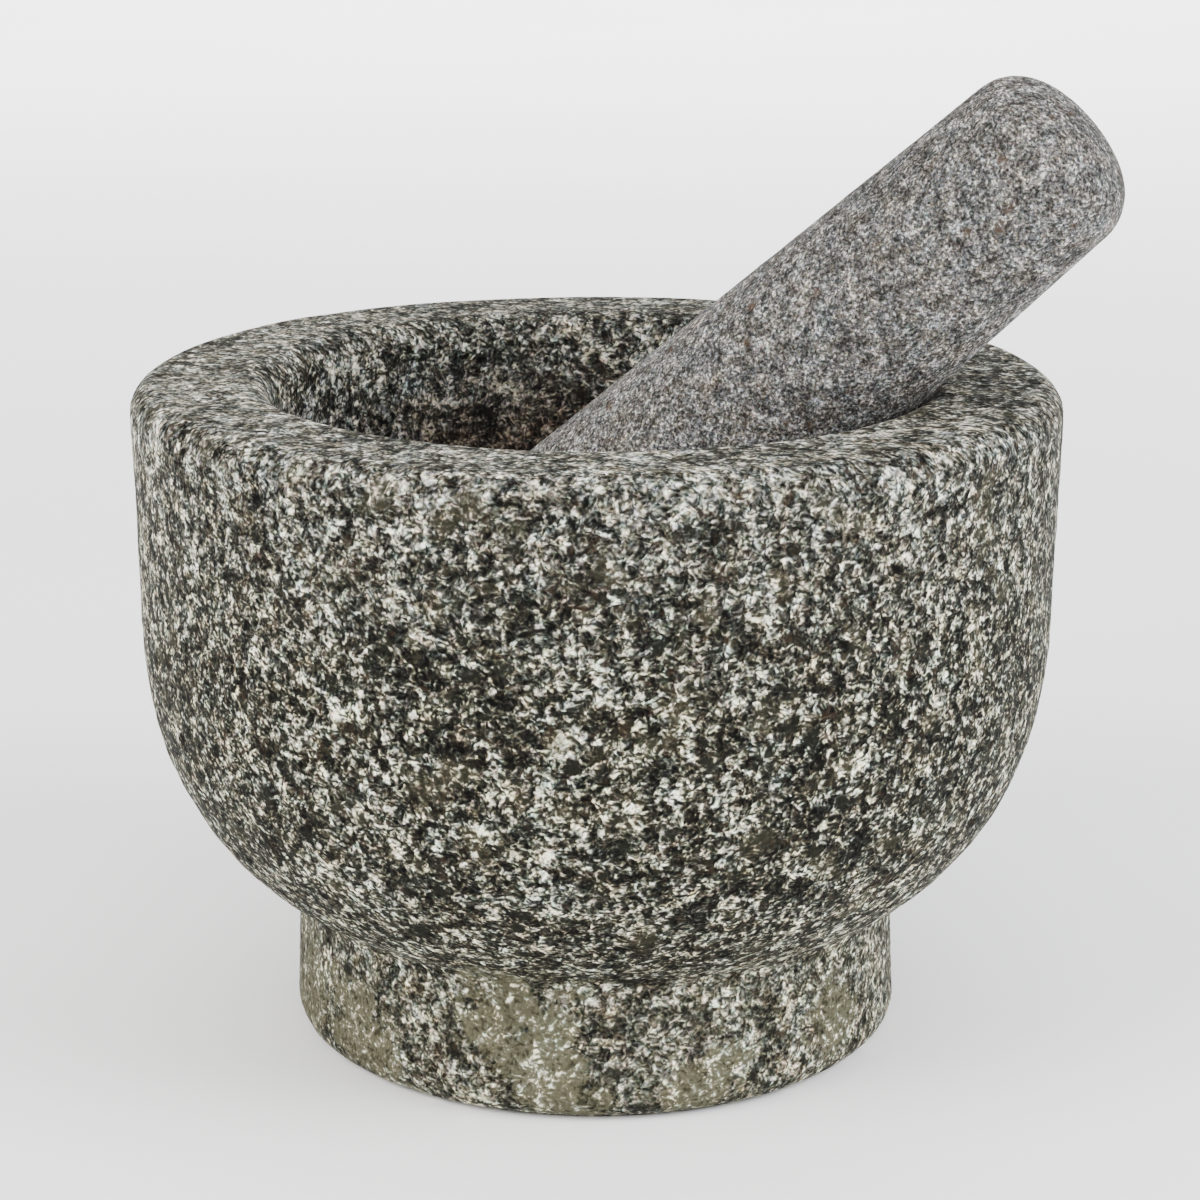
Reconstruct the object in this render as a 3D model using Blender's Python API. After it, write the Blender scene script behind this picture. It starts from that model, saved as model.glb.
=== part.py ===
"""Stone molcajete: a one-piece granite mortar on an integral foot, and its loose tapered pestle.

Metres, +Z up. The origin is the centre of the mortar's flat underside.
The pestle leans in the bowl toward +X and a little toward -Y.
"""
import math

import bmesh
import bpy
from mathutils import Euler, Vector

# Mortar, outside
MORTAR_HEIGHT = 0.1310
RIM_OUTER_RADIUS = 0.0900
RIM_OUTER_ROUND = 0.0055
WALL_LOW_HEIGHT = 0.0915
WALL_LOW_RADIUS = 0.0892
BELLY_DEPTH = 0.0750
BELLY_EXPONENT = 2.58
NECK_RADIUS = 0.0597
NECK_FILLET = 0.0024
FOOT_RADIUS = 0.0605
FOOT_EDGE_ROUND = 0.0060

# Mortar, inside
MOUTH_RADIUS = 0.0627
MOUTH_ROUND = 0.0060
CAVITY_DEPTH = 0.0900
CAVITY_EXPONENT = 2.20

# Pestle
PESTLE_LENGTH = 0.1835
PESTLE_ABOVE_RIM = 0.0771
PESTLE_RIM_RADIUS = 0.0204
PESTLE_TAPER = 0.038
HANDLE_DOME_HEIGHT = 0.0125
HANDLE_DOME_EXPONENT = 2.4
HEAD_DOME_HEIGHT = 0.0180
HEAD_DOME_EXPONENT = 2.2
PESTLE_TILT = math.radians(47.5)
PESTLE_AZIMUTH = math.radians(-18.7)
PESTLE_OFFSET = 0.0369

# Facets
MORTAR_SEGMENTS = 84
PESTLE_SEGMENTS = 48
SHARP_ANGLE = math.radians(35)


def clear_scene():
    for existing in list(bpy.data.objects):
        bpy.data.objects.remove(existing, do_unlink=True)


def stone_material(name, colour, roughness):
    material = bpy.data.materials.new(name)
    material.use_nodes = True
    material.diffuse_color = colour
    shader = material.node_tree.nodes["Principled BSDF"]
    shader.inputs["Base Color"].default_value = colour
    shader.inputs["Roughness"].default_value = roughness
    shader.inputs["Metallic"].default_value = 0.0
    return material


def speckled_granite():
    return stone_material("speckled_granite", (0.145, 0.140, 0.115, 1.0), 0.72)


def pale_granite():
    return stone_material("pale_granite", (0.262, 0.254, 0.246, 1.0), 0.62)


def arc(centre_r, centre_z, radius, start, stop, steps):
    """Points on a circular arc in the (radius, height) plane, both ends included."""
    points = []
    for i in range(steps + 1):
        angle = start + (stop - start) * i / steps
        points.append((centre_r + radius * math.cos(angle), centre_z + radius * math.sin(angle)))
    return points


def superellipse(radius, depth, exponent, centre_z, start, stop, steps):
    """Points on a quarter superellipse below centre_z, both ends included."""
    points = []
    for i in range(steps + 1):
        angle = start + (stop - start) * i / steps
        r = radius * max(math.cos(angle), 0.0) ** (2.0 / exponent)
        z = centre_z - depth * max(math.sin(angle), 0.0) ** (2.0 / exponent)
        points.append((r, z))
    return points


def blend(before, corner, after, steps):
    """Interior points of a quadratic curve that rounds off a corner."""
    points = []
    for i in range(1, steps):
        t = i / steps
        a, b, c = (1 - t) ** 2, 2 * t * (1 - t), t ** 2
        points.append((a * before[0] + b * corner[0] + c * after[0],
                       a * before[1] + b * corner[1] + c * after[1]))
    return points


def neck_angle(radius):
    """Superellipse angle at which the belly has drawn in to the given radius."""
    return math.acos((radius / WALL_LOW_RADIUS) ** (BELLY_EXPONENT / 2.0))


def neck_height():
    angle = neck_angle(NECK_RADIUS)
    return WALL_LOW_HEIGHT - BELLY_DEPTH * math.sin(angle) ** (2.0 / BELLY_EXPONENT)


def mortar_profile():
    """Outline from the edge of the flat underside, up the outside and down the cavity."""
    neck_z = neck_height()
    foot = arc(FOOT_RADIUS - FOOT_EDGE_ROUND, FOOT_EDGE_ROUND, FOOT_EDGE_ROUND, -math.pi / 2, 0.0, 5)
    foot_top = (NECK_RADIUS, neck_z - NECK_FILLET)
    belly_start = neck_angle(NECK_RADIUS + NECK_FILLET)
    belly = superellipse(WALL_LOW_RADIUS, BELLY_DEPTH, BELLY_EXPONENT, WALL_LOW_HEIGHT, belly_start, 0.0, 12)
    neck = blend(foot_top, (NECK_RADIUS, neck_z), belly[0], 4)
    rim_z = MORTAR_HEIGHT - RIM_OUTER_ROUND
    rim = arc(RIM_OUTER_RADIUS - RIM_OUTER_ROUND, rim_z, RIM_OUTER_ROUND, 0.0, math.pi / 2, 5)
    mouth_z = MORTAR_HEIGHT - MOUTH_ROUND
    mouth = arc(MOUTH_RADIUS + MOUTH_ROUND, mouth_z, MOUTH_ROUND, math.pi / 2, math.pi, 5)
    depth = CAVITY_DEPTH - MOUTH_ROUND
    cavity = superellipse(MOUTH_RADIUS, depth, CAVITY_EXPONENT, mouth_z, 0.0, math.pi / 2, 16)
    return foot + [foot_top] + neck + belly + rim + mouth + cavity[1:-1]


def dome(base_radius, height, exponent, steps):
    """Offsets of a domed end from its shoulder to just short of its tip."""
    points = []
    for i in range(steps):
        angle = math.pi / 2 * i / steps
        r = base_radius * math.cos(angle) ** (2.0 / exponent)
        points.append((r, height * math.sin(angle) ** (2.0 / exponent)))
    return points


def pestle_radius(along):
    """Radius of the plain taper at a distance along the axis from the level of the rim."""
    return PESTLE_RIM_RADIUS - PESTLE_TAPER * along


def pestle_profile():
    """Outline from the head to the handle; height zero is where the axis crosses the rim's level."""
    head_tip = PESTLE_ABOVE_RIM - PESTLE_LENGTH
    head_shoulder = head_tip + HEAD_DOME_HEIGHT
    handle_shoulder = PESTLE_ABOVE_RIM - HANDLE_DOME_HEIGHT
    head = dome(pestle_radius(head_shoulder), HEAD_DOME_HEIGHT, HEAD_DOME_EXPONENT, 8)
    handle = dome(pestle_radius(handle_shoulder), HANDLE_DOME_HEIGHT, HANDLE_DOME_EXPONENT, 8)
    lower = [(r, head_shoulder - offset) for r, offset in reversed(head)]
    upper = [(r, handle_shoulder + offset) for r, offset in handle]
    return lower, upper


def turned_body(name, profile, segments, first_cap, last_cap, material):
    """Closed body of revolution. A cap is the height of a pole, or None for one flat face."""
    body = bmesh.new()
    rings = []
    for r, z in profile:
        ring = []
        for i in range(segments):
            angle = 2.0 * math.pi * i / segments
            ring.append(body.verts.new((r * math.cos(angle), r * math.sin(angle), z)))
        rings.append(ring)
    for lower, upper in zip(rings, rings[1:]):
        for i in range(segments):
            j = (i + 1) % segments
            body.faces.new((lower[i], lower[j], upper[j], upper[i]))
    close_end(body, rings[0], first_cap)
    close_end(body, rings[-1], last_cap)
    bmesh.ops.recalc_face_normals(body, faces=body.faces)
    mesh = bpy.data.meshes.new(name)
    body.to_mesh(mesh)
    body.free()
    mesh.shade_smooth()
    mesh.set_sharp_from_angle(angle=SHARP_ANGLE)
    mesh.materials.append(material)
    built = bpy.data.objects.new(name, mesh)
    bpy.context.scene.collection.objects.link(built)
    return built


def close_end(body, ring, cap):
    if cap is None:
        body.faces.new(ring)
        return
    pole = body.verts.new((0.0, 0.0, cap))
    for i in range(len(ring)):
        body.faces.new((ring[i], ring[(i + 1) % len(ring)], pole))


def build_mortar():
    cavity_floor = MORTAR_HEIGHT - CAVITY_DEPTH
    return turned_body("mortar", mortar_profile(), MORTAR_SEGMENTS, None, cavity_floor, speckled_granite())


def build_pestle():
    lower, upper = pestle_profile()
    head_tip = PESTLE_ABOVE_RIM - PESTLE_LENGTH
    pestle = turned_body("pestle", lower + upper, PESTLE_SEGMENTS, head_tip, PESTLE_ABOVE_RIM, pale_granite())
    pestle.rotation_euler = Euler((0.0, PESTLE_TILT, PESTLE_AZIMUTH), "XYZ")
    outward = Vector((math.cos(PESTLE_AZIMUTH), math.sin(PESTLE_AZIMUTH), 0.0))
    pestle.location = outward * PESTLE_OFFSET + Vector((0.0, 0.0, MORTAR_HEIGHT))
    return pestle


clear_scene()
build_mortar()
build_pestle()
bpy.context.view_layer.update()
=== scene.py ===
"""The looks of a granite mortar and its pestle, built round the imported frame.

Metres, +Z up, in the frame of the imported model: the origin is the centre of the mortar's underside.
Both stones are turned outlines meshed finely, roughened by noise and given procedural granite.
"""
import math

import bpy
import numpy as np
from mathutils import Euler, Matrix, Vector


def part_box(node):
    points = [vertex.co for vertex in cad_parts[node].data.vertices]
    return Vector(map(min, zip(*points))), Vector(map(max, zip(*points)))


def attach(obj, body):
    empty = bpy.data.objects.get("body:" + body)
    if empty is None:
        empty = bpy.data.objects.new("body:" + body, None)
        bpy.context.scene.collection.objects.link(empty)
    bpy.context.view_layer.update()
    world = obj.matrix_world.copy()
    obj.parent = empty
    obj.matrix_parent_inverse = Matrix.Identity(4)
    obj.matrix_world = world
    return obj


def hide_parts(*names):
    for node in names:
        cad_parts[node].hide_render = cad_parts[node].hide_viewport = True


MM = 0.001

# Mortar outline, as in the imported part
RIM_OUTER_ROUND = 0.0055
WALL_LOW_HEIGHT = 0.0915
WALL_LOW_RADIUS = 0.0892
BELLY_DEPTH = 0.0750
BELLY_EXPONENT = 2.58
NECK_RADIUS = 0.0597
NECK_FILLET = 0.0024
FOOT_RADIUS = 0.0605
FOOT_EDGE_ROUND = 0.0060
MOUTH_RADIUS = 0.0627
MOUTH_ROUND = 0.0060
CAVITY_DEPTH = 0.0900
CAVITY_EXPONENT = 2.20

# Pestle outline and place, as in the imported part
PESTLE_LENGTH = 0.1835
PESTLE_ABOVE_RIM = 0.0771
PESTLE_RIM_RADIUS = 0.0204
PESTLE_TAPER = 0.038
HANDLE_DOME_HEIGHT = 0.0125
HANDLE_DOME_EXPONENT = 2.4
HEAD_DOME_HEIGHT = 0.0180
HEAD_DOME_EXPONENT = 2.2
PESTLE_TILT = math.radians(47.5)
PESTLE_AZIMUTH = math.radians(-18.7)
PESTLE_OFFSET = 0.0369

# Points along each stretch of an outline
EDGE_STEPS = 16
NECK_STEPS = 8
BELLY_STEPS = 90
CAVITY_STEPS = 120
DOME_STEPS = 60

# Mesh fineness
MORTAR_SEGMENTS = 720
MORTAR_STEP = 0.0009
PESTLE_SEGMENTS = 200
PESTLE_STEP = 0.0008

# Relief below the turned outlines: depths of waves, grains and pits; then size, octaves and seed of
# waves and grains; then spacing, share and seed of pits
MORTAR_DEPTHS = (0.00022, 0.00017, 0.00040)
MORTAR_WAVES = (0.030, 2, 11)
MORTAR_GRAINS = (0.0042, 3, 23)
MORTAR_PITS = (0.0062, 0.55, 41)
PESTLE_DEPTHS = (0.00010, 0.00006, 0.00018)
PESTLE_WAVES = (0.022, 2, 61)
PESTLE_GRAINS = (0.0026, 3, 71)
PESTLE_PITS = (0.0070, 0.30, 83)
GRAIN_LIFT = 0.6
# Heights over which the ground rim and the foot are smoother, and by what share
GROUND_HEIGHTS = (0.124, 0.1305)
GROUND_SMOOTHING = 0.75
SMOOTH_FOOT_HEIGHTS = (0.024, 0.034)
FOOT_SMOOTHING = 0.35
UNDERSIDE_HEIGHT = 0.0002

# Camera: metres, radians, and the focal length in pixels of a square frame
CAMERA_DISTANCE = 0.620
CAMERA_HEIGHT = 0.2559
CAMERA_PITCH = 0.26843
CAMERA_YAW = 0.0011
CAMERA_ROLL = 0.0029
FRAME_PIXELS = 1200
FOCAL_PIXELS = 3257.4
SENSOR_WIDTH_MM = 36.0
CLIP_START = 0.05
CLIP_END = 30.0


# ---------------------------------------------------------------- outlines

def arc(centre_r, centre_z, radius, start, stop, steps):
    """Points on an arc between two angles, both ends included."""
    angles = np.linspace(start, stop, steps + 1)
    return [(centre_r + radius * math.cos(a), centre_z + radius * math.sin(a)) for a in angles]


def superellipse(radius, depth, exponent, centre_z, start, stop, steps):
    """Points on a quarter superellipse below centre_z, both ends included."""
    points = []
    for angle in np.linspace(start, stop, steps + 1):
        r = radius * max(math.cos(angle), 0.0) ** (2.0 / exponent)
        z = centre_z - depth * max(math.sin(angle), 0.0) ** (2.0 / exponent)
        points.append((r, z))
    return points


def blend(before, corner, after, steps):
    """Interior points of a quadratic curve that rounds off a corner."""
    points = []
    for t in np.linspace(0.0, 1.0, steps + 1)[1:-1]:
        a, b, c = (1 - t) ** 2, 2 * t * (1 - t), t ** 2
        points.append((a * before[0] + b * corner[0] + c * after[0],
                       a * before[1] + b * corner[1] + c * after[1]))
    return points


def neck_angle(radius):
    """Superellipse angle at which the belly has drawn in to the given radius."""
    return math.acos((radius / WALL_LOW_RADIUS) ** (BELLY_EXPONENT / 2.0))


def neck_height():
    """Height at which the belly has drawn in to the neck."""
    angle = neck_angle(NECK_RADIUS)
    return WALL_LOW_HEIGHT - BELLY_DEPTH * math.sin(angle) ** (2.0 / BELLY_EXPONENT)


def mortar_outline(height, rim_radius):
    """Outline from the centre of the underside, up the outside and down to the cavity's floor."""
    quarter = math.pi / 2
    neck_z = neck_height()
    foot = arc(FOOT_RADIUS - FOOT_EDGE_ROUND, FOOT_EDGE_ROUND, FOOT_EDGE_ROUND, -quarter, 0.0, EDGE_STEPS)
    foot_top = (NECK_RADIUS, neck_z - NECK_FILLET)
    belly_start = neck_angle(NECK_RADIUS + NECK_FILLET)
    belly = superellipse(WALL_LOW_RADIUS, BELLY_DEPTH, BELLY_EXPONENT, WALL_LOW_HEIGHT,
                         belly_start, 0.0, BELLY_STEPS)
    neck = blend(foot_top, (NECK_RADIUS, neck_z), belly[0], NECK_STEPS)
    rim = arc(rim_radius - RIM_OUTER_ROUND, height - RIM_OUTER_ROUND, RIM_OUTER_ROUND,
              0.0, quarter, EDGE_STEPS)
    mouth_z = height - MOUTH_ROUND
    mouth = arc(MOUTH_RADIUS + MOUTH_ROUND, mouth_z, MOUTH_ROUND, quarter, 2.0 * quarter, EDGE_STEPS)
    depth = CAVITY_DEPTH - MOUTH_ROUND
    cavity = superellipse(MOUTH_RADIUS, depth, CAVITY_EXPONENT, mouth_z, 0.0, quarter, CAVITY_STEPS)
    return [(0.0, 0.0)] + foot + [foot_top] + neck + belly + rim + mouth + cavity[1:]


def dome(base_radius, height, exponent, steps):
    """Offsets of a domed end, from its shoulder to its tip."""
    points = []
    for angle in np.linspace(0.0, math.pi / 2, steps + 1):
        r = base_radius * max(math.cos(angle), 0.0) ** (2.0 / exponent)
        points.append((r, height * math.sin(angle) ** (2.0 / exponent)))
    return points


def pestle_radius(along):
    """Radius of the pestle's cone at a distance along its axis from the level of the rim."""
    return PESTLE_RIM_RADIUS - PESTLE_TAPER * along


def pestle_outline():
    """Outline from the head's tip to the handle's tip; height zero is level with the rim."""
    head_shoulder = PESTLE_ABOVE_RIM - PESTLE_LENGTH + HEAD_DOME_HEIGHT
    handle_shoulder = PESTLE_ABOVE_RIM - HANDLE_DOME_HEIGHT
    head = dome(pestle_radius(head_shoulder), HEAD_DOME_HEIGHT, HEAD_DOME_EXPONENT, DOME_STEPS)
    handle = dome(pestle_radius(handle_shoulder), HANDLE_DOME_HEIGHT, HANDLE_DOME_EXPONENT, DOME_STEPS)
    lower = [(r, head_shoulder - offset) for r, offset in reversed(head)]
    upper = [(r, handle_shoulder + offset) for r, offset in handle]
    return lower + upper


def evenly(outline, step):
    """The same outline with points a given distance apart along it."""
    points = np.array(outline)
    lengths = np.hypot(*np.diff(points, axis=0).T)
    travelled = np.concatenate([[0.0], np.cumsum(lengths)])
    wanted = np.linspace(0.0, travelled[-1], int(round(travelled[-1] / step)) + 1)
    return np.stack([np.interp(wanted, travelled, points[:, 0]),
                     np.interp(wanted, travelled, points[:, 1])], axis=1)


# ---------------------------------------------------------------- noise

# Large odd numbers that scatter the bits of a hash
CELL_FACTORS = (73856093, 19349663, 83492791)
SEED_FACTOR = 2654435761
PART_FACTORS = (0x9E3779B97F4A7C15, 0xC2B2AE3D27D4EB4F, 0x165667B19E3779F9)
STIR_FACTOR = 0xBF58476D1CE4E5B9
LATTICE_GAIN = 1.3


def hashed(cells, seed):
    """Repeatable numbers from 0 to 1 for whole-number cells, three for each."""
    mixed = np.full(len(cells), np.uint64(seed * SEED_FACTOR % 2 ** 32))
    for column, factor in enumerate(CELL_FACTORS):
        mixed ^= cells[:, column].astype(np.int64).astype(np.uint64) * np.uint64(factor)
    parts = []
    for factor in PART_FACTORS:
        part = mixed * np.uint64(factor)
        part ^= part >> np.uint64(29)
        part *= np.uint64(STIR_FACTOR)
        part ^= part >> np.uint64(32)
        parts.append((part >> np.uint64(40)).astype(np.float64) / 2.0 ** 24)
    return np.stack(parts, axis=1)


def lattice_noise(points, seed):
    """Smooth gradient noise, about -1 to 1, for points in cells of size one."""
    base = np.floor(points)
    inner = points - base
    fade = inner ** 3 * (inner * (inner * 6 - 15) + 10)
    total = np.zeros(len(points))
    for corner in np.ndindex(2, 2, 2):
        step = np.array(corner, float)
        gradient = hashed(base + step, seed) * 2.0 - 1.0
        share = np.prod(np.where(step > 0, fade, 1.0 - fade), axis=1)
        total += share * np.sum(gradient * (inner - step), axis=1)
    return total * LATTICE_GAIN


def layered_noise(points, size, octaves, seed):
    """Lattice noise summed over octaves, the largest with cells of the given size in metres."""
    total = np.zeros(len(points))
    for octave in range(octaves):
        scale = 2.0 ** octave
        total += lattice_noise(points * (scale / size), seed + octave) / scale
    return total


def pits(points, spacing, share, seed):
    """0 to 1: round hollows scattered in space, one in each cell of a share of the cells."""
    scaled = points / spacing
    base = np.floor(scaled)
    depth = np.zeros(len(points))
    for corner in np.ndindex(3, 3, 3):
        cell = base + np.array(corner, float) - 1.0
        centre = cell + 0.15 + 0.7 * hashed(cell, seed)
        traits = hashed(cell, seed + 17)
        radius = 0.22 + 0.26 * traits[:, 1]
        distance = np.linalg.norm(scaled - centre, axis=1) / radius
        hollow = np.clip(1.0 - distance ** 2, 0.0, 1.0) ** 1.5
        depth = np.maximum(depth, np.where(traits[:, 0] < share, hollow, 0.0))
    return depth


def smoothstep(low, high, values):
    """0 at low and 1 at high, with a smooth rise between."""
    t = np.clip((values - low) / (high - low), 0.0, 1.0)
    return t * t * (3.0 - 2.0 * t)


# ---------------------------------------------------------------- stones as meshes

def turned_grid(outline, segments):
    """Vertices and outward normals of an outline turned about Z; both ends are on the axis."""
    tangent = np.gradient(outline, axis=0)
    tangent /= np.linalg.norm(tangent, axis=1)[:, None]
    angles = np.linspace(0.0, 2.0 * math.pi, segments, endpoint=False)
    cosine, sine = np.cos(angles), np.sin(angles)
    rings, normals = outline[1:-1], tangent[1:-1]
    r, z = rings[:, :1], rings[:, 1:]
    vertices = np.stack([r * cosine, r * sine, np.repeat(z, segments, 1)], axis=-1).reshape(-1, 3)
    across, up = normals[:, 1:], -normals[:, :1]
    outward = np.stack([across * cosine, across * sine, np.repeat(up, segments, 1)], -1).reshape(-1, 3)
    vertices = np.concatenate([[[0.0, 0.0, outline[0, 1]]], vertices, [[0.0, 0.0, outline[-1, 1]]]])
    ends = np.sign([[0.0, 0.0, -normals[0, 0]], [0.0, 0.0, -normals[-1, 0]]])
    return vertices, np.concatenate([ends[:1], outward, ends[1:]])


def stone_mesh(name, vertices, ring_count, segments):
    """Closed mesh of rings of quads between two poles."""
    ring = np.arange(segments)
    ahead = (ring + 1) % segments
    quads = []
    for level in range(ring_count - 1):
        low = 1 + level * segments
        high = low + segments
        quads.append(np.stack([low + ring, low + ahead, high + ahead, high + ring], axis=1))
    quads = np.concatenate(quads)
    last = 1 + (ring_count - 1) * segments
    first_fan = np.stack([1 + ahead, 1 + ring, np.zeros(segments, int)], axis=1)
    last_fan = np.stack([last + ring, last + ahead, np.full(segments, len(vertices) - 1)], axis=1)
    corners = np.concatenate([quads.ravel(), first_fan.ravel(), last_fan.ravel()])
    sizes = np.concatenate([np.full(len(quads), 4), np.full(2 * segments, 3)])
    starts = np.concatenate([[0], np.cumsum(sizes)[:-1]])
    mesh = bpy.data.meshes.new(name)
    mesh.vertices.add(len(vertices))
    mesh.vertices.foreach_set("co", vertices.ravel())
    mesh.loops.add(len(corners))
    mesh.loops.foreach_set("vertex_index", corners.astype(np.int32))
    mesh.polygons.add(len(sizes))
    mesh.polygons.foreach_set("loop_start", starts.astype(np.int32))
    mesh.update(calc_edges=True)
    mesh.validate()
    mesh.shade_smooth()
    return mesh


def add_object(name, mesh, material):
    mesh.materials.append(material)
    made = bpy.data.objects.new(name, mesh)
    bpy.context.scene.collection.objects.link(made)
    return made


def stone_relief(points, depths, waves, grains, hollows, pecked):
    """Waves all over, with grains and pits as strong as the stone is pecked."""
    wave_depth, grain_depth, pit_depth = depths
    swell = wave_depth * (layered_noise(points, *waves) + 1.0)
    grainy = grain_depth * (layered_noise(points, *grains) + GRAIN_LIFT)
    return np.maximum(swell + pecked * (grainy + pit_depth * pits(points, *hollows)), 0.0)


def mortar_relief(points):
    """How far the mortar's skin lies below its turned outline, in metres."""
    r = np.hypot(points[:, 0], points[:, 1])
    z = points[:, 2]
    ground = smoothstep(*GROUND_HEIGHTS, z) * GROUND_SMOOTHING
    foot = (1.0 - smoothstep(*SMOOTH_FOOT_HEIGHTS, z)) * FOOT_SMOOTHING
    pecked = 1.0 - np.maximum(ground, foot)
    relief = stone_relief(points, MORTAR_DEPTHS, MORTAR_WAVES, MORTAR_GRAINS, MORTAR_PITS, pecked)
    underside = (z < UNDERSIDE_HEIGHT) & (r < FOOT_RADIUS)
    return np.where(underside, 0.0, relief)


def pestle_relief(points):
    """How far the pestle's skin lies below its turned outline, in metres."""
    return stone_relief(points, PESTLE_DEPTHS, PESTLE_WAVES, PESTLE_GRAINS, PESTLE_PITS, 1.0)


def build_mortar(material):
    low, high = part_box("mortar")
    outline = evenly(mortar_outline(high.z - low.z, high.x), MORTAR_STEP)
    vertices, normals = turned_grid(outline, MORTAR_SEGMENTS)
    vertices -= normals * mortar_relief(vertices)[:, None]
    mesh = stone_mesh("mortar_stone", vertices, len(outline) - 2, MORTAR_SEGMENTS)
    stone = add_object("mortar_stone", mesh, material)
    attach(stone, "mortar")
    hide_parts("mortar")


def build_pestle(material):
    outline = evenly(pestle_outline(), PESTLE_STEP)
    vertices, normals = turned_grid(outline, PESTLE_SEGMENTS)
    vertices -= normals * pestle_relief(vertices)[:, None]
    rim_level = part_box("mortar")[1].z
    outward = Vector((math.cos(PESTLE_AZIMUTH), math.sin(PESTLE_AZIMUTH), 0.0))
    place = outward * PESTLE_OFFSET + Vector((0.0, 0.0, rim_level))
    turn = np.array(Euler((0.0, PESTLE_TILT, PESTLE_AZIMUTH), "XYZ").to_matrix())
    vertices = vertices @ turn.T + np.array(place)
    mesh = stone_mesh("pestle_stone", vertices, len(outline) - 2, PESTLE_SEGMENTS)
    stone = add_object("pestle_stone", mesh, material)
    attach(stone, "pestle")
    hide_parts("pestle")


# ---------------------------------------------------------------- shader building

class Graph:
    """Small helper that adds and joins the nodes of one material."""

    def __init__(self, name):
        self.material = bpy.data.materials.new(name)
        self.material.use_nodes = True
        self.tree = self.material.node_tree
        self.shader = self.tree.nodes["Principled BSDF"]

    def join(self, value, socket):
        if isinstance(value, bpy.types.NodeSocket):
            self.tree.links.new(value, socket)
        else:
            socket.default_value = value

    def position(self):
        """Object coordinates in millimetres."""
        coordinates = self.tree.nodes.new("ShaderNodeTexCoord")
        return self.vector("SCALE", coordinates.outputs["Object"], scale=1.0 / MM)

    def vector(self, operation, a, b=None, c=None, scale=None):
        node = self.tree.nodes.new("ShaderNodeVectorMath")
        node.operation = operation
        for value, socket in zip((a, b, c), node.inputs):
            if value is not None:
                self.join(value, socket)
        if scale is not None:
            self.join(scale, node.inputs["Scale"])
        return node.outputs["Value"] if operation == "LENGTH" else node.outputs["Vector"]

    def math(self, operation, a, b=0.0, c=0.0):
        node = self.tree.nodes.new("ShaderNodeMath")
        node.operation = operation
        for value, socket in zip((a, b, c), node.inputs):
            self.join(value, socket)
        return node.outputs["Value"]

    def product(self, *values):
        total = values[0]
        for value in values[1:]:
            total = self.math("MULTIPLY", total, value)
        return total

    def axes(self, position):
        node = self.tree.nodes.new("ShaderNodeSeparateXYZ")
        self.join(position, node.inputs[0])
        return node.outputs

    def noise(self, position, size, detail=2.0, roughness=0.5, distortion=0.0):
        """Outputs of noise whose largest features are about size millimetres apart."""
        node = self.tree.nodes.new("ShaderNodeTexNoise")
        node.noise_type = "FBM"
        node.normalize = True
        self.join(position, node.inputs["Vector"])
        node.inputs["Scale"].default_value = 1.0 / size
        node.inputs["Detail"].default_value = detail
        node.inputs["Roughness"].default_value = roughness
        node.inputs["Distortion"].default_value = distortion
        return node.outputs

    def cells(self, position, size):
        """Outputs of a cell pattern with cells of about size millimetres."""
        node = self.tree.nodes.new("ShaderNodeTexVoronoi")
        self.join(position, node.inputs["Vector"])
        node.inputs["Scale"].default_value = 1.0 / size
        return node.outputs

    def warped(self, position, size, amount):
        """The position pushed about by up to amount millimetres."""
        wobble = self.vector("SUBTRACT", self.noise(position, size, 1.0)["Color"], (0.5, 0.5, 0.5))
        return self.vector("ADD", position, self.vector("SCALE", wobble, scale=2.0 * amount))

    def turned(self, position, angles):
        node = self.tree.nodes.new("ShaderNodeVectorRotate")
        node.rotation_type = "EULER_XYZ"
        self.join(position, node.inputs["Vector"])
        self.join(angles, node.inputs["Rotation"])
        return node.outputs["Vector"]

    def ranged(self, value, low, high, to_low=0.0, to_high=1.0, smooth=True):
        node = self.tree.nodes.new("ShaderNodeMapRange")
        node.interpolation_type = "SMOOTHSTEP" if smooth else "LINEAR"
        for entry, name in ((value, "Value"), (low, "From Min"), (high, "From Max"),
                            (to_low, "To Min"), (to_high, "To Max")):
            self.join(entry, node.inputs[name])
        return node.outputs["Result"]

    def ramp(self, value, stops):
        """Colours blended along a value; stops are (place, (r, g, b))."""
        node = self.tree.nodes.new("ShaderNodeValToRGB")
        elements = node.color_ramp.elements
        while len(elements) < len(stops):
            elements.new(0.5)
        for element, (place, colour) in zip(elements, stops):
            element.position = place
            element.color = (*colour, 1.0)
        self.join(value, node.inputs["Fac"])
        return node.outputs["Color"]

    def mix(self, share, a, b, mode="MIX"):
        node = self.tree.nodes.new("ShaderNodeMix")
        node.data_type = "RGBA"
        node.blend_type = mode
        self.join(share, node.inputs[0])
        for value, socket in ((a, node.inputs[6]), (b, node.inputs[7])):
            self.join((*value, 1.0) if isinstance(value, tuple) else value, socket)
        return node.outputs[2]

    def bump(self, height, distance_mm, strength, below=None):
        node = self.tree.nodes.new("ShaderNodeBump")
        node.inputs["Distance"].default_value = distance_mm * MM
        node.inputs["Strength"].default_value = strength
        self.join(height, node.inputs["Height"])
        if below is not None:
            self.join(below, node.inputs["Normal"])
        return node.outputs["Normal"]

    def finish(self, colour, roughness, normal):
        self.join(colour, self.shader.inputs["Base Color"])
        self.join(roughness, self.shader.inputs["Roughness"])
        self.join(normal, self.shader.inputs["Normal"])
        self.shader.inputs["Metallic"].default_value = 0.0
        self.shader.inputs["Specular IOR Level"].default_value = STONE_SPECULAR
        return self.material


# ---------------------------------------------------------------- materials

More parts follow.
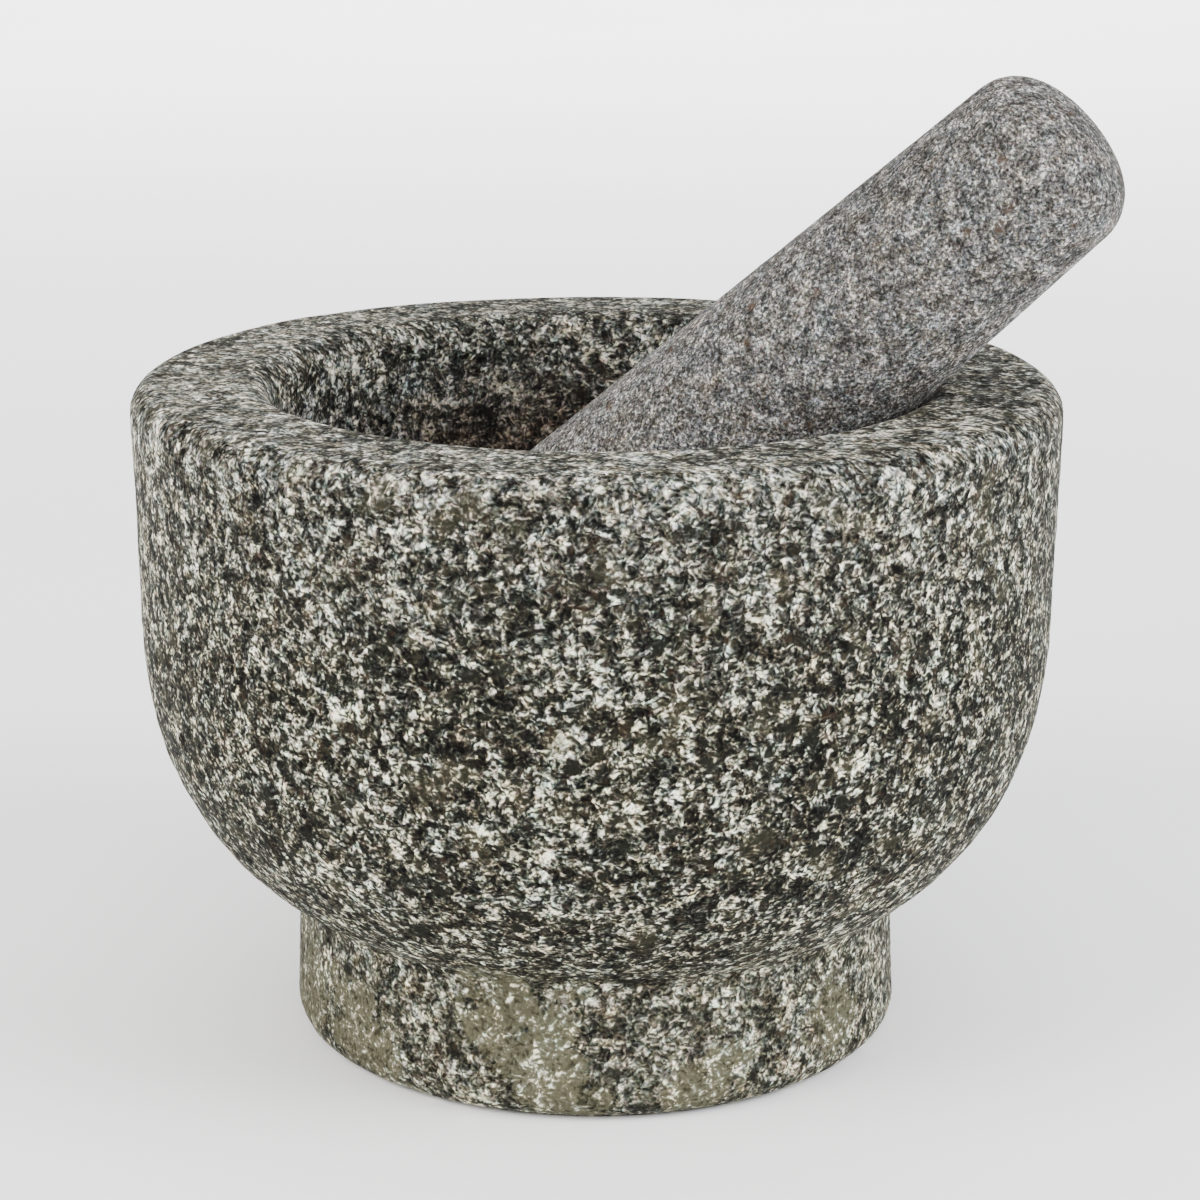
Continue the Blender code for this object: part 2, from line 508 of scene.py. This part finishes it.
# Where the grain value falls, dark to light, and how light the stone is there in each zone
WALL_PLACES = (0.377, 0.412, 0.464, 0.500, 0.537, 0.590, 0.630)
WALL_LIGHTNESS = (0.0009, 0.0023, 0.0084, 0.0230, 0.073, 0.49, 1.0)
RIM_LIGHTNESS = (0.0022, 0.0065, 0.0245, 0.059, 0.150, 0.47, 0.84)
FOOT_LIGHTNESS = (0.0040, 0.0090, 0.028, 0.060, 0.140, 0.50, 1.0)
CAVITY_LIGHTNESS = (0.0018, 0.0048, 0.019, 0.046, 0.105, 0.25, 0.44)
PESTLE_PLACES = (0.346, 0.389, 0.454, 0.500, 0.546, 0.611, 0.654)
PESTLE_LIGHTNESS = (0.0125, 0.022, 0.046, 0.076, 0.122, 0.26, 0.52)
# Tints of each zone's darkest and lightest grains
WALL_TINTS = ((1.00, 1.0, 0.73), (1.04, 1.0, 0.77))
RIM_TINTS = ((1.00, 1.0, 0.80), (1.035, 1.0, 0.86))
FOOT_TINTS = ((1.02, 1.0, 0.74), (1.04, 1.0, 0.76))
CAVITY_TINTS = ((0.95, 1.0, 0.91), (0.97, 1.0, 0.94))
PESTLE_TINTS = ((1.05, 1.0, 0.94), (1.04, 1.0, 0.95))
STONE_SPECULAR = 0.06

# Colours of marks and stains, and of the painted shade in the bowl
BLOT_COLOUR = (0.0078, 0.0082, 0.0058)
POOL_COLOUR = (0.0125, 0.0132, 0.0098)
SPECK_COLOUR = (0.0082, 0.0086, 0.0062)
FLECK_COLOUR = (0.80, 0.76, 0.62)
PESTLE_SPOT_COLOUR = (0.035, 0.034, 0.030)
OLIVE_SKIN = (0.088, 0.083, 0.050)
RUST = (0.050, 0.030, 0.018)
# Painted shade in the bowl, tinted brown: factors that multiply the inner wall's colour
BOWL_SHADE_TINT = (0.66, 0.50, 0.41)
# Painted shade on the bowl's back wall and back rim: its colour, then the greatest share of it
BACK_SHADE_COLOUR = (0.0, 0.0, 0.0)
BACK_SHADE_SHARE = 0.30

# Spots: cell spacing in millimetres, share of the cells, and radii in cells where a spot is full and ends
BLOTS = (4.7, 0.40, 0.23, 0.41)
POOLS = (9.0, 0.42, 0.12, 0.34)
SPECKS = (1.9, 0.34, 0.10, 0.27)
FLECKS = (3.6, 0.30, 0.06, 0.26)
PESTLE_DARK_SPOTS = (4.6, 0.34, 0.06, 0.30)
PESTLE_RUST_SPOTS = (6.5, 0.40, 0.05, 0.23)

# Noise of the grains: size in millimetres, detail, roughness and distortion
MORTAR_CLUMP_NOISE = (7.0, 1.0, 0.55)
MORTAR_GRAIN_NOISE = (2.2, 2.5, 0.85, 0.20)
MORTAR_DRIFT_NOISE = (42.0, 2.0, 0.5)
MORTAR_FINE_NOISE = (0.55, 3.0, 0.65)
MORTAR_CRYSTAL_SIZE = 1.2
PESTLE_CLUMP_NOISE = (2.6, 1.0, 0.6)
PESTLE_GRAIN_NOISE = (0.62, 1.2, 0.8, 0.15)
PESTLE_FINE_NOISE = (0.45, 3.0, 0.65)
PESTLE_CRYSTAL_SIZE = 0.75
# Pale needles: cell spacing and width in millimetres, and how many times longer than wide
NEEDLES = (2.0, 0.62, 3.2)

# Where the mortar's zones fade in, in millimetres: heights, and distances from the axis
RIM_HEIGHTS = (119.0, 128.5)
SHOULDER_HEIGHTS = (86.0, 118.0)
SHOULDER_WEAR = 0.40
FOOT_HEIGHTS = (25.0, 34.0)
MOUTH_DISTANCES = (61.0, 66.5)
CAVITY_FLOOR_HEIGHTS = (36.0, 40.0)
CAVITY_TOP_HEIGHTS = (116.0, 129.0)

# Stained patches of the foot: centre and radius in millimetres
FOOT_STAINS = (((-17.0, -58.0, 20.0), 13.0), ((-5.0, -60.0, 7.0), 12.0), ((-57.0, -19.0, 14.0), 15.0),
               ((-45.0, -39.0, 9.0), 13.0), ((21.0, -56.0, 5.0), 10.0), ((46.0, -38.0, 14.0), 9.0),
               ((55.0, 22.0, 10.0), 14.0), ((8.0, 60.0, 12.0), 13.0), ((-40.0, 45.0, 8.0), 11.0))


def shades(places, lightness, tints):
    """Ramp stops from the dark grains to the light ones."""
    dark, light = (Vector(tint) for tint in tints)
    stops = []
    for place, level in zip(places, lightness):
        share = (place - places[0]) / (places[-1] - places[0])
        tint = dark.lerp(light, share)
        stops.append((place, tuple(min(level * part, 1.0) for part in tint)))
    return stops


def grain_tint(graph, position, size, amount):
    """Factors round one: red and blue vary from grain to grain, each on its own."""
    wobble = graph.vector("SUBTRACT", graph.noise(position, size, 2.0, 0.7)["Color"], (0.5, 0.5, 0.5))
    return graph.vector("MULTIPLY_ADD", wobble, (amount, 0.0, amount), (1.0, 1.0, 1.0))


def warm_tint(graph, position, size, amount):
    """Factors round one: red rises where blue falls, over patches of the given size."""
    wobble = graph.math("SUBTRACT", graph.noise(position, size, 2.0, 0.6)["Fac"], 0.5)
    spread = graph.vector("SCALE", (amount, 0.0, -amount), scale=wobble)
    return graph.vector("ADD", spread, (1.0, 1.0, 1.0))


def spots(graph, position, spacing, share, radius_low, radius_high):
    """0 to 1: soft spots, one in each of a share of cells of the given spacing in millimetres."""
    cell = graph.cells(position, spacing)
    chosen = graph.math("LESS_THAN", graph.axes(cell["Color"])[0], share)
    inside = graph.ranged(cell["Distance"], radius_low, radius_high, 1.0, 0.0)
    return graph.math("MULTIPLY", chosen, inside)


def strokes(graph, position, spacing, width, stretch):
    """Noise drawn out into short strokes that lie in a new direction in every cell."""
    angles = graph.vector("SCALE", graph.cells(position, spacing)["Color"], scale=2.0 * math.pi)
    laid = graph.vector("MULTIPLY", graph.turned(position, angles), (1.0, 1.0, 1.0 / stretch))
    return graph.noise(laid, width, 0.5, 0.5)["Fac"]


def weighted(graph, *pairs):
    """Sum of (value, weight) pairs."""
    total = 0.0
    for value, weight in pairs:
        total = graph.math("MULTIPLY_ADD", value, weight, total)
    return total


def distance_from_axis(graph, position):
    """Distance from the mortar's axis, in millimetres."""
    return graph.vector("LENGTH", graph.vector("MULTIPLY", position, (1.0, 1.0, 0.0)))


def foot_stains(graph, position):
    """0 to 1: ragged patches where the foot is smooth and khaki."""
    nearest = 0.0
    for centre, radius in FOOT_STAINS:
        gap = graph.vector("LENGTH", graph.vector("SUBTRACT", position, centre))
        closeness = graph.ranged(gap, 0.0, radius * 1.6, 1.0, 0.0, smooth=False)
        nearest = graph.math("MAXIMUM", nearest, closeness)
    ragged = graph.noise(graph.warped(position, 3.0, 1.5), 7.0, 4.0, 0.7)["Fac"]
    field = weighted(graph, (nearest, 1.0), (ragged, 2.2))
    return graph.ranged(field, 1.52, 1.72)


def speckled(graph, position, colour, grain, worn):
    """Adds dark blots, wider pools and small specks, fainter where the stone is worn, and pale flecks."""
    blots = spots(graph, graph.warped(position, 1.3, 0.8), *BLOTS)
    faded = graph.math("MULTIPLY_ADD", worn, -0.50, 0.88)
    blots = graph.product(blots, faded, graph.ranged(grain, 0.46, 0.66, 1.0, 0.40))
    colour = graph.mix(blots, colour, BLOT_COLOUR)
    pools = spots(graph, graph.warped(position, 2.5, 1.6), *POOLS)
    faded = graph.math("MULTIPLY_ADD", worn, -0.50, 0.66)
    colour = graph.mix(graph.product(pools, faded), colour, POOL_COLOUR)
    specks = spots(graph, graph.warped(position, 0.7, 0.35), *SPECKS)
    colour = graph.mix(graph.product(specks, 0.85), colour, SPECK_COLOUR)
    flecks = spots(graph, graph.warped(position, 0.8, 0.9), *FLECKS)
    flecks = graph.product(flecks, graph.ranged(grain, 0.44, 0.54, 0.25, 0.95))
    return graph.mix(flecks, colour, FLECK_COLOUR)


def weathered(graph, position, loose, colour):
    """Adds rust in small patches, and an olive skin in larger ones on the outside."""
    rust = graph.ranged(graph.noise(loose, 3.4, 3.0, 0.7)["Fac"], 0.57, 0.68)
    colour = graph.mix(graph.product(rust, 0.28), colour, RUST)
    skin = graph.ranged(graph.noise(loose, 10.0, 3.0, 0.65)["Fac"], 0.54, 0.68)
    skin = graph.product(skin, graph.ranged(distance_from_axis(graph, position), 62.0, 70.0, 0.0, 0.22))
    return graph.mix(skin, colour, graph.mix(0.30, OLIVE_SKIN, colour))


def bowl_painted_shade(graph, position, cavity, colour):
    """Paints shade, tinted brown, into the bowl's wall below the mouth, weaker near the floor and on the
    left side where light falls; and paints shade onto the back wall and back rim.
    """
    x, y, z = graph.axes(position)
    below_mouth = graph.ranged(z, 106.0, 129.0, 1.0, 0.0)
    above_floor = graph.ranged(z, 48.0, 88.0, 0.25, 1.0)
    off_left = graph.ranged(x, -60.0, -20.0, 0.25, 1.0)
    # Painted shade: the inner wall is darkened and browned below the mouth, less near the floor and on the
    # lit left side
    painted_bowl_shade = graph.product(cavity, below_mouth, above_floor, off_left)
    colour = graph.mix(painted_bowl_shade, colour, BOWL_SHADE_TINT, "MULTIPLY")
    # Painted shade: black mixed into the back wall and back rim, away from the left
    at_back = graph.ranged(y, 28.0, 60.0, 0.0, BACK_SHADE_SHARE)
    within_rim = graph.ranged(distance_from_axis(graph, position), 84.0, 90.0, 1.0, 0.0)
    painted_back_shade = graph.product(at_back, graph.ranged(x, -55.0, -30.0), within_rim, graph.ranged(z, 60.0, 90.0))
    return graph.mix(painted_back_shade, colour, BACK_SHADE_COLOUR)


def foot_stained(graph, position, value, colour):
    """Covers patches of the foot with olive skin, most of all between the darkest and lightest grains."""
    stain = graph.product(foot_stains(graph, position), graph.ranged(value, 0.40, 0.47, 0.35, 0.92),
                          graph.ranged(value, 0.53, 0.60, 1.0, 0.30))
    return graph.mix(stain, colour, graph.mix(0.25, OLIVE_SKIN, colour))


def coarse_granite():
    """The mortar's stone: black, grey and white grains, worn paler at the rim."""
    graph = Graph("coarse_granite")
    position = graph.position()
    z = graph.axes(position)[2]
    loose = graph.warped(position, 2.2, 0.60)
    ragged = graph.warped(loose, 0.6, 0.22)

    clumps = graph.noise(loose, *MORTAR_CLUMP_NOISE)["Fac"]
    grain = graph.noise(loose, *MORTAR_GRAIN_NOISE)["Fac"]
    drift = graph.noise(position, *MORTAR_DRIFT_NOISE)["Fac"]
    crystals = graph.axes(graph.cells(ragged, MORTAR_CRYSTAL_SIZE)["Color"])[0]
    needles = strokes(graph, loose, *NEEDLES)
    value = weighted(graph, (grain, 0.52), (clumps, 0.14), (drift, 0.04), (crystals, 0.04), (needles, 0.26))

    rim = graph.ranged(z, *RIM_HEIGHTS)
    shoulder = graph.product(graph.ranged(z, *SHOULDER_HEIGHTS), SHOULDER_WEAR)
    worn = graph.math("MAXIMUM", rim, shoulder)
    foot = graph.ranged(z, *FOOT_HEIGHTS, 1.0, 0.0)
    within_mouth = graph.ranged(distance_from_axis(graph, position), *MOUTH_DISTANCES, 1.0, 0.0)
    above_floor = graph.ranged(z, *CAVITY_FLOOR_HEIGHTS)
    below_rim = graph.ranged(z, *CAVITY_TOP_HEIGHTS, 1.0, 0.0)
    cavity = graph.product(within_mouth, above_floor, below_rim)
    colour = graph.ramp(value, shades(WALL_PLACES, WALL_LIGHTNESS, WALL_TINTS))
    for zone, lightness, tints in ((worn, RIM_LIGHTNESS, RIM_TINTS), (foot, FOOT_LIGHTNESS, FOOT_TINTS),
                                   (cavity, CAVITY_LIGHTNESS, CAVITY_TINTS)):
        colour = graph.mix(zone, colour, graph.ramp(value, shades(WALL_PLACES, lightness, tints)))

    colour = graph.mix(1.0, colour, grain_tint(graph, position, 1.2, 0.90), "MULTIPLY")
    colour = graph.mix(1.0, colour, warm_tint(graph, position, 5.0, 0.40), "MULTIPLY")
    colour = speckled(graph, position, colour, grain, worn)
    colour = weathered(graph, position, loose, colour)
    # Painted shade in the bowl and on its back wall and back rim
    colour = bowl_painted_shade(graph, position, cavity, colour)
    colour = foot_stained(graph, position, value, colour)

    fine = graph.noise(position, *MORTAR_FINE_NOISE)["Fac"]
    polish = graph.ranged(z, 124.0, 130.0, 1.0, 0.45)
    coarse_bump = graph.bump(grain, 0.45, 0.55)
    normal = graph.bump(graph.product(fine, polish), 0.20, 0.60, coarse_bump)
    roughness = graph.ranged(value, 0.38, 0.64, 0.82, 0.58, smooth=False)
    return graph.finish(colour, roughness, normal)


def fine_granite():
    """The pestle's stone: finer, more even and greyer."""
    graph = Graph("fine_granite")
    position = graph.position()
    loose = graph.warped(position, 1.5, 0.35)

    clumps = graph.noise(loose, *PESTLE_CLUMP_NOISE)["Fac"]
    grain = graph.noise(loose, *PESTLE_GRAIN_NOISE)["Fac"]
    crystals = graph.axes(graph.cells(loose, PESTLE_CRYSTAL_SIZE)["Color"])[0]
    value = weighted(graph, (grain, 0.66), (clumps, 0.28), (crystals, 0.06))
    colour = graph.ramp(value, shades(PESTLE_PLACES, PESTLE_LIGHTNESS, PESTLE_TINTS))
    colour = graph.mix(1.0, colour, grain_tint(graph, position, 0.7, 0.75), "MULTIPLY")
    colour = graph.mix(1.0, colour, warm_tint(graph, position, 4.0, 0.32), "MULTIPLY")
    dark = spots(graph, graph.warped(position, 1.1, 0.7), *PESTLE_DARK_SPOTS)
    colour = graph.mix(graph.product(dark, 0.60), colour, PESTLE_SPOT_COLOUR)
    rust = spots(graph, graph.warped(position, 1.4, 1.2), *PESTLE_RUST_SPOTS)
    colour = graph.mix(graph.product(rust, 0.70), colour, RUST)
    # Painted light: the pestle's colour is lifted by up to 18% lower down, towards the bowl
    painted_light_lower_down = graph.ranged(graph.axes(position)[2], 135.0, 165.0, 1.18, 1.0)
    colour = graph.vector("SCALE", colour, scale=painted_light_lower_down)

    fine = graph.noise(position, *PESTLE_FINE_NOISE)["Fac"]
    normal = graph.bump(fine, 0.14, 0.55, graph.bump(grain, 0.22, 0.45))
    roughness = graph.ranged(value, 0.36, 0.64, 0.80, 0.60, smooth=False)
    return graph.finish(colour, roughness, normal)


def pale_floor():
    graph = Graph("pale_floor")
    position = graph.position()
    mottle = graph.noise(position, 260.0, 2.0, 0.5)["Fac"]
    colour = graph.ramp(mottle, [(0.35, (0.93, 0.93, 0.93)), (0.65, (0.95, 0.95, 0.95))])
    normal = graph.bump(graph.noise(position, 2.0, 2.0, 0.5)["Fac"], 0.05, 0.2)
    return graph.finish(colour, 0.9, normal)


# ---------------------------------------------------------------- studio

FLOOR_HALF_WIDTH = 6.0
WHITE = (1.0, 1.0, 1.0)
# Soft boxes round the stones, aimed at their middle: name, place, size, watts and colour
SOFT_BOXES = (("left_box", (-1.15, -0.85, 0.95), (0.9, 1.1), 42.0, (1.0, 0.98, 0.95)),
              ("right_box", (1.25, -0.60, 0.85), (0.8, 1.1), 44.0, (0.97, 0.985, 1.0)),
              ("front_box", (0.0, -1.45, 1.10), (1.1, 0.9), 11.0, (1.0, 0.99, 0.97)),
              ("top_box", (0.0, 0.10, 1.55), (1.6, 1.6), 12.0, WHITE))
SOFT_BOX_AIM = (0.0, 0.0, 0.07)
# Lights over the far floor on each side: name, direction in degrees and distance in metres
FLOOR_LIGHTS = (("back_floor_box", 90.0, 2.3), ("left_floor_box", 180.0, 3.0),
                ("front_floor_box", 270.0, 3.0), ("right_floor_box", 0.0, 3.0))
FLOOR_LIGHT_HEIGHT = 1.7
FLOOR_LIGHT_LEAN = 0.2
FLOOR_LIGHT_SIZE = (3.0, 2.4)
FLOOR_LIGHT_WATTS = 130.0
FLOOR_LIGHT_SPREAD = math.radians(120.0)
SKY_COLOUR = (0.95, 0.97, 1.0)
SKY_STRENGTH = 0.58


def build_floor():
    half = FLOOR_HALF_WIDTH
    corners = [(-half, -half, 0.0), (half, -half, 0.0), (half, half, 0.0), (-half, half, 0.0)]
    mesh = bpy.data.meshes.new("studio_floor")
    mesh.from_pydata(corners, [], [(0, 1, 2, 3)])
    add_object("studio_floor", mesh, pale_floor())


def add_light(name, place, aim, size, watts, colour):
    lamp = bpy.data.lights.new(name, "AREA")
    lamp.shape = "RECTANGLE"
    lamp.size, lamp.size_y = size
    lamp.energy = watts
    lamp.color = colour
    made = bpy.data.objects.new(name, lamp)
    made.location = place
    made.rotation_euler = (Vector(aim) - Vector(place)).to_track_quat("-Z", "Y").to_euler()
    bpy.context.scene.collection.objects.link(made)
    return lamp


def build_lights():
    for name, place, size, watts, colour in SOFT_BOXES:
        add_light(name, place, SOFT_BOX_AIM, size, watts, colour)
    for name, angle, reach in FLOOR_LIGHTS:
        away = Vector((math.cos(math.radians(angle)), math.sin(math.radians(angle)), 0.0))
        place = away * reach + Vector((0.0, 0.0, FLOOR_LIGHT_HEIGHT))
        aim = away * (reach + FLOOR_LIGHT_LEAN)
        wash = add_light(name, place, aim, FLOOR_LIGHT_SIZE, FLOOR_LIGHT_WATTS, WHITE)
        wash.spread = FLOOR_LIGHT_SPREAD


def build_sky():
    world = bpy.data.worlds.new("studio")
    world.use_nodes = True
    background = world.node_tree.nodes["Background"]
    background.inputs["Color"].default_value = (*SKY_COLOUR, 1.0)
    background.inputs["Strength"].default_value = SKY_STRENGTH
    bpy.context.scene.world = world


def build_camera():
    lens = bpy.data.cameras.new("camera")
    lens.sensor_fit = "HORIZONTAL"
    lens.sensor_width = SENSOR_WIDTH_MM
    lens.lens = SENSOR_WIDTH_MM * FOCAL_PIXELS / FRAME_PIXELS
    lens.clip_start = CLIP_START
    lens.clip_end = CLIP_END
    pitch, yaw = CAMERA_PITCH, CAMERA_YAW
    forward = Vector((math.sin(yaw) * math.cos(pitch), math.cos(yaw) * math.cos(pitch), -math.sin(pitch)))
    level = Vector((math.cos(yaw), -math.sin(yaw), 0.0))
    above = level.cross(forward)
    right = level * math.cos(CAMERA_ROLL) + above * math.sin(CAMERA_ROLL)
    up = above * math.cos(CAMERA_ROLL) - level * math.sin(CAMERA_ROLL)
    turn = Matrix((right, up, -forward)).transposed().to_4x4()
    camera = bpy.data.objects.new("camera", lens)
    camera.matrix_world = Matrix.Translation((0.0, -CAMERA_DISTANCE, CAMERA_HEIGHT)) @ turn
    bpy.context.scene.collection.objects.link(camera)
    bpy.context.scene.camera = camera


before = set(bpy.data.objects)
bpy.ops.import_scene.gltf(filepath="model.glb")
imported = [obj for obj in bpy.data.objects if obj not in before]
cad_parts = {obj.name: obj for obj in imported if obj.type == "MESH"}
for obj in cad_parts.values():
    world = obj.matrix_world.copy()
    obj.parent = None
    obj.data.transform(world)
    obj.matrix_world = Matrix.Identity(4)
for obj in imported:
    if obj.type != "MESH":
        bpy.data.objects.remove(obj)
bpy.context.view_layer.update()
build_camera()
build_mortar(coarse_granite())
build_pestle(fine_granite())
build_floor()
build_lights()
build_sky()
bpy.context.view_layer.update()
